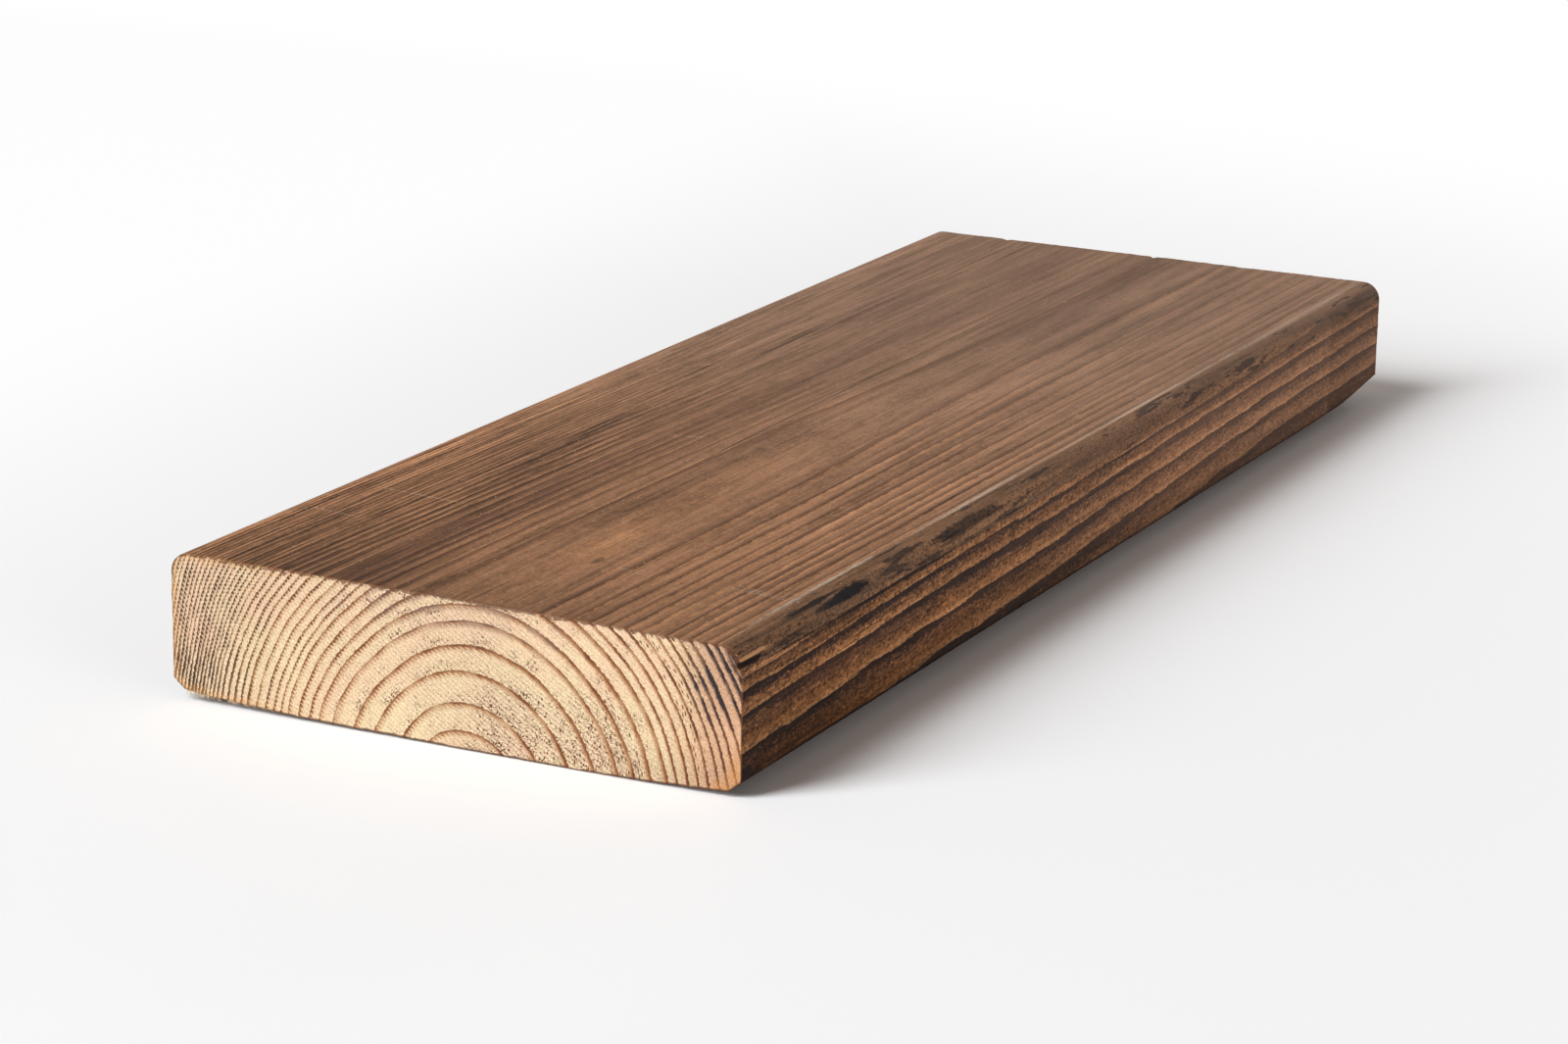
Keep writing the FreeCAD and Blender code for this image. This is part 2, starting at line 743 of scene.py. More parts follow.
@dataclass(frozen=True)
class Fringe:
    """Torn fibres that hang from the lower left arris of the front end, in millimetres."""

    start: float = -69.0
    end: float = -44.0
    count: int = 48
    crowding: float = 1.5
    thickness: float = 0.27
    rooted: float = 0.2
    clearance: float = 0.03
    depth: tuple[float, float] = (0.17, 0.4)
    sweep: tuple[float, float] = (-0.5, 1.5)
    back: tuple[float, float] = (0.0, 0.1)
    hang: tuple[float, float] = (0.65, 0.95)
    curl: tuple[float, float] = (-0.2, 0.2)
    # How thick a fibre is at some places along it, as shares.
    girths: tuple[tuple[float, float], ...] = ((0.0, 1.0), (0.55, 0.8), (1.0, 0.3))
    # The fibres are as pale as the wide earlywood at this place in the end.
    like: Place = (5.5, 0.0, 13.0)
    seed: int = 51

    def fibres(self, section: BoardSection) -> tuple[np.ndarray, np.ndarray]:
        """Make the fibres, each a bent, tapered strand with four sides.

        Args:
            section: The board's section.

        Returns:
            Their points, and four corners for each face.
        """
        draw = np.random.RandomState(self.seed)
        below = section.underside()
        places = []
        for share in draw.uniform(0.0, 1.0, self.count) ** self.crowding:
            across = self.start + (self.end - self.start) * share
            height = np.interp(-across, below[:, 0], below[:, 1])
            root = np.array([across, draw.uniform(*self.depth), height + self.rooted])
            room = root[2] - self.clearance - self.thickness / 4
            way = np.array([draw.uniform(*span) for span in (self.sweep, self.back, self.hang)])
            way[2] *= -room
            curl = np.array([draw.uniform(*self.curl), 0.0, 0.0])
            first = np.cross(way, (0.0, 1.0, 0.0))
            first /= np.linalg.norm(first)
            second = np.cross(way, first) / np.linalg.norm(way)
            for part, girth in self.girths:
                middle = root + way * part + curl * 4 * part * (1 - part)
                half = self.thickness * girth / 2
                places += [middle + half * turned for turned in (first, second, -first, -second)]
        ends = [[3, 2, 1, 0], [8, 9, 10, 11]]
        sides = [[k, (k + 1) % 4, 4 + (k + 1) % 4, 4 + k] for k in range(4)]
        strand = np.vstack([sides, np.array(sides) + 4, ends])
        return np.array(places), np.vstack([strand + 12 * number for number in range(self.count)])


class EndGrain:
    """What the sawn finish reads at a point of an end: its place, the saw's marks and the rings.

    Lengths are in millimetres.
    """

    def __init__(self, sheet: Sheet, finish: "SawnFinish") -> None:
        """Read the mesh.

        Args:
            sheet: The tree of the material.
            finish: The finish, which says how the saw went.
        """
        self.sheet = sheet
        self.across, along, self.up = sheet.split(sheet.place())
        self.flat = sheet.join(self.across, along * 0.05, self.up)
        self.edge = sheet.attribute("edge")
        self.left = self.across.fall(-52.0, -2.0)
        self.far_left = self.across.fall(-62.0, -36.0)
        self.right = self.across.rise(52.0, 67.0)
        self.wide = self.across.rise(56.0, 64.0) * self.up.rise(13.0, 26.0)
        self.toothed = self.across.fall(-4.0, 36.0)
        self.rowed = self.across.rise(-6.0, 8.0)
        self.patch = sheet.noise(self.flat, (12.0, 40.0, 12.0), detail=4.0)
        self.grain = sheet.noise(self.flat, (0.26, 8.0, 0.26), detail=3.0, roughness=0.6)
        self.fuzz = sheet.noise(self.flat, (0.8, 9.0, 0.8), detail=3.0)

        wander = sheet.noise(self.flat, (9.0, 40.0, 9.0)) * 0.1
        saw_across, saw_up = finish.saw_middle
        slope = math.radians(finish.saw_slope)
        self.saw_reach = (self.across - saw_across).hypot(self.up - saw_up) + wander
        self.saw_run = self.across * math.cos(slope) + self.up * math.sin(slope)
        self.comb = (self.saw_reach * (2 * math.pi / finish.saw_pitch) - math.pi / 2).sine() * 0.5 + 0.5

        self.width = sheet.attribute("ring_width")
        self.ring = sheet.attribute("ring") + self.fuzz * 0.2 / self.width.greater(0.8)
        self.inside = (1 - self.ring.fraction()) * self.width
        self.outside = self.ring.fraction() * self.width


@dataclass(frozen=True)
class SawnFinish:
    """Bare, sawn end grain: cream earlywood, brown latewood, saw marks and torn pores."""

    name: str = "sawn_end_grain"
    earlywood: Colour = paint(214, 191, 155)
    pink_earlywood: Colour = paint(212, 180, 150)
    margin: Colour = paint(190, 144, 114)
    halo: Colour = paint(158, 106, 62)
    latewood: Colour = paint(104, 60, 38)
    grey_latewood: Colour = paint(50, 38, 32)
    dark_latewood: Colour = paint(46, 36, 37)
    smudge: Colour = paint(132, 108, 98)
    pore: Colour = paint(98, 58, 32)
    # Pale cells of the torn earlywood, brightened into painted highlights.
    fleck_and_highlight: Colour = paint(248, 224, 192)
    rim: Colour = paint(92, 56, 34)
    ochre: Colour = paint(196, 134, 66)
    saw_pitch: float = 0.98
    saw_middle: tuple[float, float] = (294.0, 452.0)
    saw_slope: float = -34.0
    pit_spacing: float = 0.66
    canal_spacing: float = 1.5
    canal_pitch: float = 0.8
    roughness: float = 0.8
    relief: float = 0.16 * MM

    def cream(self, end: EndGrain) -> Socket:
        """Colour the earlywood.

        Args:
            end: What is read at a point.

        Returns:
            The colour, with the saw's rows and its duller patches.
        """
        sheet = end.sheet
        pink = end.patch * 0.8 + 0.25 + end.up.rise(8.0, 34.0) * 0.3
        cream = sheet.mix(self.earlywood, self.pink_earlywood, pink)
        cream = sheet.mix(cream, self.margin, end.right * 0.75)
        dull = end.across.between(-14.0, 0.0, 12.0, 24.0) * 0.06
        dull = dull + end.across.rise(36.0, 46.0) * end.up.fall(3.0, 12.0) * 0.2 + end.wide * 0.12
        dull = dull + end.across.between(-66.0, -58.0, -48.0, -42.0) * 0.06
        return sheet.shade(cream, 1.08 + end.grain * 0.46 - end.comb * (0.1 + end.toothed * 0.08) - dull)

    def ringed(self, end: EndGrain, wood: Socket) -> tuple[Socket, Value]:
        """Draw the latewood of the rings.

        Args:
            end: What is read at a point.
            wood: The colour so far.

        Returns:
            The colour with the rings, and where their dark cores are.
        """
        sheet = end.sheet
        tone = sheet.random(end.ring.floor())
        shift = sheet.noise(sheet.join(sheet.attribute("arc"), end.ring.floor() * 7.3, 0.0), (6.0, 1.0, 1.0))
        solid = end.across.fall(-62.0, -44.0) * end.up.fall(8.0, 16.0)
        tooth = end.comb.rise(0.2, 0.8) * (1 - solid)
        core_width = 0.36 + tone * 0.16 + end.wide * 0.52 + end.far_left * 0.08
        core_width = core_width * (1.0 + shift * (0.4 - end.wide * 0.3))
        core = (end.inside + tooth * end.left * 0.2).fall(core_width * 0.6, core_width * 1.6)
        dots = 1 - tooth * (end.left * 0.8).lesser(0.75) * (1 - end.far_left * 0.35)
        reaches = (end.width * 0.26).lesser(1.0)
        halo = end.inside + (tooth * end.toothed * 0.9 + (1 - end.toothed) * 0.3) * reaches
        halo = halo.fall(reaches * 0.9, reaches * 2.0) * (0.78 + tone * 0.2 + shift * 0.3)
        wood = sheet.mix(wood, self.halo, halo)
        grey = end.far_left * 0.8 + end.up.rise(26.0, 34.0) * 0.4
        late = sheet.mix(self.latewood, self.grey_latewood, grey)
        late = sheet.mix(late, self.dark_latewood, end.wide + end.right * 0.4)
        depth = 0.66 + end.left * 0.25 + end.right * 0.3 + shift * (0.6 - end.far_left * 0.35)
        return sheet.mix(wood, late, core * dots * depth), core

    def pits(self, end: EndGrain) -> Value:
        """Lay the pits where the saw pulled pores out, in two layers along its rows.

        Args:
            end: What is read at a point.

        Returns:
            1 in a pit and 0 away from one.
        """
        sheet = end.sheet
        uneven = sheet.noise(end.flat, (0.6, 9.0, 0.6), detail=2.0) * 0.3
        aside, above, chance = sheet.spots(end.saw_run, end.saw_reach, self.pit_spacing, self.saw_pitch)
        drop = (sheet.random(chance * 91.0) - 0.5) * 0.5
        span = 0.22 + sheet.random(chance * 57.0) * 0.18
        large = (aside + uneven).hypot((above + drop + uneven) * (0.7 + end.rowed * 0.2)).fall(0.06, span)
        large = large * chance.rise(0.2, 0.9)
        run, reach = end.saw_run + 0.3, end.saw_reach + 0.45
        aside, above, chance = sheet.spots(run, reach, self.pit_spacing * 0.85, self.saw_pitch)
        small = (aside + uneven * 1.4).hypot(above - uneven).fall(0.04, 0.26) * chance.rise(0.35, 0.9)
        return large.greater(small * 0.9)

    def torn(self, end: EndGrain) -> Value:
        """Give how much the saw tore the earlywood.

        Args:
            end: What is read at a point.

        Returns:
            From 0 where it is whole, to about 1 low in the middle and just outside the rings' lines.
        """
        cluster = end.sheet.noise(end.flat, (4.0, 40.0, 4.0), detail=3.0)
        lower = end.across.between(0.0, 14.0, 38.0, 54.0) * end.up.fall(8.0, 24.0)
        near_line = end.outside.fall(0.6, 3.4) * end.across.between(-44.0, -10.0, 14.0, 30.0)
        scattered = cluster.rise(0.0, 0.8) * (1 - end.left) * (1 - end.right)
        torn = lower * 0.8 + near_line * (0.35 + cluster * 0.4) + scattered * 0.5
        return torn * end.inside.rise(0.5, 1.6)

    def canals(self, end: EndGrain) -> Value:
        """Lay the resin canals, in rows along some of the rings on the right.

        Args:
            end: What is read at a point.

        Returns:
            1 in a canal and 0 away from one.
        """
        sheet = end.sheet
        arc, radius = sheet.attribute("arc"), sheet.attribute("radius")
        aside, above, chance = sheet.spots(arc, radius, self.canal_spacing, self.canal_pitch)
        canal = (aside * 0.34).hypot(above + end.fuzz * 0.12).fall(0.1, 0.24) * chance.rise(0.55, 0.65)
        chosen = sheet.random(end.ring.floor() + 31.0).rise(0.25, 0.45)
        rows = chosen * end.across.between(32.0, 44.0, 60.0, 68.0)
        return canal * rows * end.inside.rise(0.5, 0.9) * end.outside.rise(0.1, 0.4)

    def soiled_and_shaded(self, end: EndGrain, wood: Socket) -> Socket:
        """Soil the end near its edges, and paint shade along its lower edge.

        Args:
            end: What is read at a point.
            wood: The colour so far.

        Returns:
            The colour with a smudge under the top, ochre in the lower corners, a dark rim along the top and
            the left, and painted shade along the lower edge.
        """
        sheet = end.sheet
        under_top = end.up.rise(20.0, 30.0) * end.across.between(-40.0, -10.0, 16.0, 40.0)
        cloud = sheet.noise(end.flat, (5.0, 40.0, 5.0), detail=3.0) + 0.6
        wood = sheet.mix(wood, self.smudge, under_top * end.inside.fall(0.8, 2.2) * cloud * 0.5)
        ragged = end.edge + sheet.noise(end.flat, (1.4, 30.0, 1.4), detail=3.0) * 0.8
        low_right = end.across.rise(52.0, 62.0) * end.up.fall(4.0, 14.0) * end.patch.rise(-0.4, 0.3)
        low_left = end.across.fall(-60.0, -30.0) * ragged.fall(0.4, 2.4)
        wood = sheet.mix(wood, self.ochre, low_right * 0.55 + low_left * 0.3)
        # Painted shade along the lower arris of the end.
        low = end.up.fall(1.0, 6.0) * end.across.rise(-62.0, -44.0)
        upper_rim = (ragged * 0.6).fall(0.05, 0.5) * end.up.rise(25.0, 33.0) * 0.8
        left_rim = (end.edge + end.grain * 0.7).fall(0.1, 0.8) * end.across.fall(-69.0, -66.0) * 0.3
        lower_rim = (end.edge + end.fuzz * 0.2).fall(0.1, 0.55) * low * 0.8
        for rim in (upper_rim, left_rim, lower_rim):
            wood = sheet.mix(wood, self.rim, rim)
        return wood

    def material(self) -> bpy.types.Material:
        """Make the material.

        Returns:
            The material, which reads the mesh's ring, ring_width, radius, arc and edge.
        """
        material, sheet = new_material(self.name)
        end = EndGrain(sheet, self)
        wood, core = self.ringed(end, self.cream(end))
        pits, torn, canals = self.pits(end), self.torn(end), self.canals(end)
        # Pale flecks on the torn earlywood, partly painted highlights on its relief.
        sparkle = (end.grain + 0.3 - end.comb * 0.5).rise(0.0, 0.6)
        wood = sheet.mix(wood, self.fleck_and_highlight, sparkle * (1 - pits) * torn)
        wood = sheet.mix(wood, self.pore, (pits * 1.6 + end.comb * end.rowed * 0.2) * torn)
        grit = sheet.noise(end.flat, (0.2, 8.0, 0.2), detail=1.0)
        wood = sheet.shade(wood, 1.0 + grit * 0.22)
        wood = sheet.mix(wood, self.pore, canals)
        wood = self.soiled_and_shaded(end, wood)
        height = end.grain * (0.5 + torn * 0.4) - end.comb * 0.3 + core * 0.4 - pits * torn * 1.6 - canals
        sheet.dress({
            "Base Color": wood,
            "Roughness": self.roughness,
            "Specular IOR Level": 0.2,
            "Normal": sheet.bump(height, self.relief, 0.8),
        })
        return material


class LongGrain:
    """What the stained finish reads at a point of a long face: its place, the grain and the rings.

    Lengths are in millimetres.
    """

    def __init__(self, sheet: Sheet, front: float) -> None:
        """Read the mesh.

        Args:
            sheet: The tree of the material.
            front: The place of the front end.
        """
        self.sheet = sheet
        self.front = front
        self.place = sheet.place()
        self.across, along, self.up = sheet.split(self.place)
        self.reach = along - front
        self.far = self.reach.rise(40.0, 330.0)
        self.near = 1 - self.far * 0.5
        self.upward = sheet.attribute("upward")
        self.level = 1 - self.upward
        self.edge = sheet.attribute("edge")
        self.fibre = sheet.noise(self.place, (0.8, 34.0, 0.8), detail=4.0, roughness=0.65)
        self.streak = sheet.noise(self.place, (3.0, 90.0, 3.0), detail=3.0, roughness=0.6)
        self.mottle = sheet.noise(self.place, (2.2, 4.5, 2.2), detail=4.0, roughness=0.65)
        self.fuzz = sheet.noise(self.place, (0.6, 1.2, 0.6), detail=3.0, roughness=0.6)
        self.patch = sheet.noise(self.place, (14.0, 60.0, 14.0), detail=3.0)
        self.grain = sheet.join(sheet.attribute("radius"), along, sheet.attribute("arc"))
        self.strand = sheet.noise(self.grain, (0.9, 60.0, 24.0), detail=4.0, roughness=0.7)

        jag = sheet.noise(self.place, (1.6, 18.0, 1.6), detail=4.0, roughness=0.6)
        jag = jag * self.level * (0.1 + self.across.rise(0.0, 40.0) * 0.1)
        jag = jag + self.mottle * (self.upward * 0.12 + 0.04)
        self.width = sheet.attribute("ring_width")
        self.ring = sheet.attribute("ring") + (self.fibre * 0.08 + jag) / self.width.greater(0.8)
        self.inside = (1 - self.ring.fraction()) * self.width
        self.outside = self.ring.fraction() * self.width
        self.crumbled = self.inside + self.fuzz * self.level * 0.4

        left = self.across.fall(-22.0, -6.0) * self.reach.fall(90.0, 250.0) * 1.25
        right = self.across.rise(24.0, 34.0) * (1 - self.reach.rise(100.0, 320.0) * 0.6)
        middle = self.across.between(-22.0, -6.0, 24.0, 34.0) * (0.8 - self.far * 0.4)
        self.shown = left + right + middle


@dataclass(frozen=True)
class StainedFinish:
    """Brown stain on planed long grain, darker in the latewood and worn paler on top, with painted sheen that
    turns it paler and greyer towards the far end.
    """

    name: str = "stained_long_grain"
    earlywood: Colour = paint(128, 88, 57)
    orange_earlywood: Colour = paint(132, 84, 47)
    # The far colours are the near ones with painted sheen: paler and greyer.
    side_far_early_with_sheen: Colour = paint(138, 101, 77)
    latewood: Colour = paint(28, 20, 19)
    side_far_late_with_sheen: Colour = paint(80, 60, 50)
    band: Colour = paint(64, 45, 38)
    far_band_with_sheen: Colour = paint(100, 73, 58)
    top_earlywood: Colour = paint(138, 102, 76)
    # The top's far earlywood carries painted sheen too.
    top_far_early_with_sheen: Colour = paint(142, 113, 93)
    top_latewood: Colour = paint(84, 56, 40)
    purple: Colour = paint(92, 62, 52)
    arris: Colour = paint(104, 78, 58)
    blotch: Colour = paint(38, 32, 32)
    pit: Colour = paint(40, 24, 15)
    fibre: Colour = paint(190, 140, 98)
    # Pale wear of scratches and specks; along the crest of the upper right arris it also paints a highlight.
    worn: Colour = paint(200, 184, 166)
    soot: Colour = paint(18, 15, 16)
    roughness: float = 0.72
    relief: float = 0.16 * MM
    # Each scratch runs from a place on the top to another, across and from the front end, in millimetres.
    scratches: tuple[tuple[float, float, float, float], ...] = (
        (50.5, 39.6, 65.0, 36.4), (52.0, 38.2, 66.0, 34.8), (49.0, 37.6, 60.0, 35.6),
        (-66.0, 46.0, -50.0, 44.0), (-62.0, 68.5, -34.0, 66.0), (19.5, 39.0, 31.0, 36.5),
        (-62.5, 197.0, -46.0, 221.0), (-25.0, 145.0, -14.0, 148.0),
    )
    scratch_half_width: float = 0.28
    cracks: tuple[tuple[float, float, float, float], ...] = (
        (4.6, -12.0, 5.4, 20.0), (-5.4, 118.0, -6.4, 162.0),
        (-6.0, 120.0, -7.4, 330.0), (61.0, 126.0, 61.2, 131.0),
    )
    crack_half_width: float = 0.4
    marks: tuple[Mark, ...] = (
        Mark(MarkKind.DARK, (71.6, 53.0, 32.2), (2.6, 11.0, 1.5)),
        Mark(MarkKind.DARK, (70.2, 38.0, 33.3), (1.6, 14.0, 0.5), 0.9),
        Mark(MarkKind.DARK, (70.2, 84.0, 33.2), (1.6, 14.0, 0.5), 0.8),
        Mark(MarkKind.DARK, (71.4, 114.0, 32.2), (2.6, 22.0, 1.5), 0.75),
        Mark(MarkKind.DARK, (72.5, 62.0, 28.6), (3.0, 68.0, 0.5), 0.85),
        # Painted shade in the gap under the splinter.
        Mark(MarkKind.DARK, (72.0, 3.0, 29.8), (3.0, 10.0, 1.0), 0.9),
        Mark(MarkKind.BARE, (71.6, 5.0, 31.1), (2.4, 9.0, 0.45), 0.7),
        Mark(MarkKind.DARK, (72.5, 1.0, 5.0), (2.0, 7.0, 2.6), 0.8),
        Mark(MarkKind.DARK, (14.5, 41.0, 34.0), (1.2, 3.0, 2.0), 0.5),
        # Pale wear along the crest of the upper right arris, with a painted highlight on it.
        Mark(MarkKind.WORN_HIGHLIGHT, (66.2, 48.0, 34.0), (0.9, 42.0, 3.0), 0.95),
        Mark(MarkKind.WORN_HIGHLIGHT, (66.3, 128.0, 34.0), (0.8, 44.0, 3.0), 0.85),
        Mark(MarkKind.WORN_HIGHLIGHT, (66.3, 236.0, 34.0), (0.7, 90.0, 3.0), 0.6),
        Mark(MarkKind.WORN_HIGHLIGHT, (66.6, 350.0, 34.0), (1.6, 70.0, 3.0), 0.4),
    )

    def late(self, face: LongGrain) -> Value:
        """Give where the latewood is.

        Args:
            face: What is read at a point.

        Returns:
            How dark the latewood is, from 0.
        """
        tone = face.sheet.random(face.ring.floor())
        top_core = (face.width * 0.5).lesser(0.9 + face.across.rise(38.0, 66.0) * 0.3)
        side_core = face.width * (0.36 + face.strand * 0.24 + face.mottle * 0.06)
        core_width = side_core + (top_core - side_core) * face.upward
        start, end = core_width * (0.5 - face.upward * 0.3), core_width * (1.2 + face.upward * 0.1)
        late = face.crumbled.fall(start, end)
        lines = face.shown * (0.3 + tone * 0.7 + face.streak * 0.3)
        side_lines = 0.74 + tone * 0.2 + face.strand * 0.4
        return late * (side_lines + (lines - side_lines) * face.upward)

    def grained(self, face: LongGrain, late: Value) -> Socket:
        """Colour the earlywood and the latewood.

        Args:
            face: What is read at a point.
            late: Where the latewood is.

        Returns:
            The colour, with the dark arris along the right side.
        """
        sheet = face.sheet
        side_early = sheet.mix(self.earlywood, self.orange_earlywood, face.patch * 0.6 + 0.5)
        # Towards the far end the earlywood turns paler and greyer: painted sheen.
        side_early = sheet.mix(side_early, self.side_far_early_with_sheen, face.far)
        top_early = sheet.mix(self.top_earlywood, self.top_far_early_with_sheen, face.far)
        wood = sheet.mix(side_early, top_early, face.upward)
        fresh = face.outside.fall(0.1, 0.5) * face.level
        fresh = fresh * 0.3 + face.fuzz.rise(0.3, 1.0) * (0.15 + face.level * 0.25)
        wood = sheet.mix(wood, self.fibre, fresh)
        pale = face.outside.fall(0.3, 1.1) * face.upward * face.shown
        wood = sheet.mix(wood, self.fibre, pale * (0.22 + face.strand * 0.2))
        veil = (face.crumbled + face.mottle * 0.4).fall(face.width * 0.5, face.width * 0.76) * face.level
        # The bands turn paler towards the far end: painted sheen.
        band = sheet.mix(self.band, self.far_band_with_sheen, face.far)
        wood = sheet.mix(wood, band, veil * (0.55 + face.streak * 0.3))
        # So does the latewood on the sides: painted sheen.
        side_late = sheet.mix(self.latewood, self.side_far_late_with_sheen, face.far)
        wood = sheet.mix(wood, sheet.mix(side_late, self.top_latewood, face.upward), late)
        plum = (face.ring - 11.0).size().fall(0.5, 3.0) * face.across.fall(-26.0, -14.0) * face.upward
        wood = sheet.mix(wood, self.purple, plum * 0.4)
        corner = face.across.rise(66.8, 67.4) * face.up.rise(28.2, 29.4)
        wood = sheet.mix(wood, self.arris, corner * (0.85 - face.far * 0.3))
        blot = sheet.noise(face.place, (2.2, 22.0, 2.2), detail=4.0, roughness=0.6)
        return sheet.mix(wood, self.blotch, corner * (blot + face.mottle * 0.2).rise(0.32, 0.42) * 0.75)

    def light(self, face: LongGrain) -> Value:
        """Give how light the top and the sides are, with wear and a painted highlight along the left edge of
        the top, and painted shade on the lower bevels.

        Args:
            face: What is read at a point.

        Returns:
            About 1, and less where they are darker.
        """
        across, reach, up = face.across, face.reach, face.up
        dusk = across.between(-62.0, -54.0, -24.0, -4.0) * (1 - face.far * 0.5)
        smoke = across.between(-12.0, 0.0, 8.0, 20.0) * reach.rise(160.0, 300.0)
        fresh_cut = reach.fall(0.0, 45.0) * across.fall(36.0, 50.0)
        plain = across.between(-8.0, 0.0, 14.0, 26.0) * reach.between(20.0, 50.0, 110.0, 170.0)
        # Lighter along the left edge of the top: wear, and a painted highlight.
        top = 1.05 + across.fall(-68.0, -60.0) * 0.14 - dusk * 0.24 - smoke * 0.2 - fresh_cut * 0.22
        top = top - plain * 0.16 - reach.rise(250.0, 320.0) * 0.1 - reach.rise(60.0, 330.0) * 0.06
        flank = across.size().rise(68.8, 70.2)
        # Darker towards the bottom of the sides, with painted shade on the lower bevel.
        foot = up.fall(3.0, 12.0) * 0.54 + up.fall(3.8, 4.8) * reach.rise(10.0, 40.0) * 0.5
        foot = foot + reach.rise(358.0, 361.0) * 0.24
        foot = foot + (reach.fall(30.0, 110.0) * 0.2 + reach.fall(220.0, 280.0) * 0.08) * up.fall(13.0, 19.0)
        return top * face.upward + (1.0 - foot.lesser(0.96) * flank) * face.level

    def weathered(self, face: LongGrain, wood: Socket, late: Value) -> Socket:
        """Give the stain its fine fibres, dark hairs and pits.

        Args:
            face: What is read at a point.
            wood: The colour so far.
            late: Where the latewood is.

        Returns:
            The colour with them.
        """
        sheet = face.sheet
        lined = face.across.fall(-40.0, -20.0) * face.upward
        fine = face.fibre * (0.36 + lined * 0.24) + face.mottle * 0.22
        fine = fine + face.fuzz * (0.26 + face.level * 0.2) + face.strand * 0.42
        hairs = sheet.noise(face.place, (0.36, 40.0, 0.36), detail=2.0) * lined * 0.8
        texture = 1.0 + (fine + hairs) * face.near + face.streak * 0.26 + face.patch * 0.14
        wood = sheet.shade(wood, self.light(face) * texture)
        hair = sheet.noise(face.grain, (0.3, 40.0, 10.0), detail=2.0).rise(0.35, 0.6)
        wood = sheet.mix(wood, self.soot, hair * face.level * (0.38 + late * 0.3) * face.near)
        pits = face.fuzz.fall(-0.6, -0.15) * (0.12 + face.level * 0.5) * face.near
        return sheet.mix(wood, self.pit, pits * (1 - late * 0.5))

    def marked(self, face: LongGrain, wood: Socket, top: float) -> Socket:
        """Draw the scratches, cracks, specks and marks.

        Args:
            face: What is read at a point.
            wood: The colour so far.
            top: The height of the top.

        Returns:
            The colour with them, and with orange next to the ends.
        """
        sheet = face.sheet
        drawn = (
            (self.scratches, self.scratch_half_width, self.worn, 0.28 + face.fuzz * 0.4),
            (self.cracks, self.crack_half_width, self.soot, 0.55 + face.mottle * 0.4),
        )
        for lines, half_width, colour, weight in drawn:
            for start_across, start_along, end_across, end_along in lines:
                start = (start_across, start_along + face.front, top)
                end = (end_across, end_along + face.front, top)
                line = sheet.scratch(face.place, start, end, half_width)
                wood = sheet.mix(wood, colour, line * weight)
        speck = sheet.cells(face.place, (2.0, 3.2, 2.0)).fall(0.05, 0.1)
        wood = sheet.mix(wood, self.worn, speck * face.upward * 0.6)
        # Worn marks paint pale wear together with a painted highlight.
        left_by = {MarkKind.DARK: self.soot, MarkKind.WORN_HIGHLIGHT: self.worn, MarkKind.BARE: self.fibre}
        for mark in self.marks:
            across_at, along_at, up_at = mark.middle
            away = sheet.away(face.place, (across_at, along_at + face.front, up_at), mark.reach)
            start = 0.3 if mark.kind is MarkKind.WORN_HIGHLIGHT else 0.6
            weight = (away + face.mottle * 0.32 + face.fibre * 0.26).fall(start, 1.05)
            if mark.kind is MarkKind.WORN_HIGHLIGHT:
                weight = weight * (0.62 + face.fibre * 0.5 + face.fuzz * 0.2)
            wood = sheet.mix(wood, left_by[mark.kind], weight * mark.strength)
        return sheet.mix(wood, self.orange_earlywood, (face.edge + face.fuzz * 0.5).fall(0.1, 0.9) * 0.5)

    def material(self, front: float, top: float) -> bpy.types.Material:
        """Make the material.

        Args:
            front: The place of the front end, in millimetres.
            top: The height of the top.

        Returns:
            The material, which reads the mesh's ring, ring_width, radius, arc, upward and edge.
        """
        material, sheet = new_material(self.name)
        face = LongGrain(sheet, front)
        late = self.late(face)
        wood = self.weathered(face, self.grained(face, late), late)
        wood = self.marked(face, wood, top)
        height = late * 0.4 + face.fibre * 0.3 + face.fuzz * (0.15 + face.level * 0.5) + face.mottle * 0.1
        sheet.dress({
            "Base Color": wood,
            "Roughness": self.roughness + face.fuzz * 0.04 - late * 0.06,
            "Specular IOR Level": 0.05,
            "Normal": sheet.bump(height, self.relief, 0.6),
        })
        return material


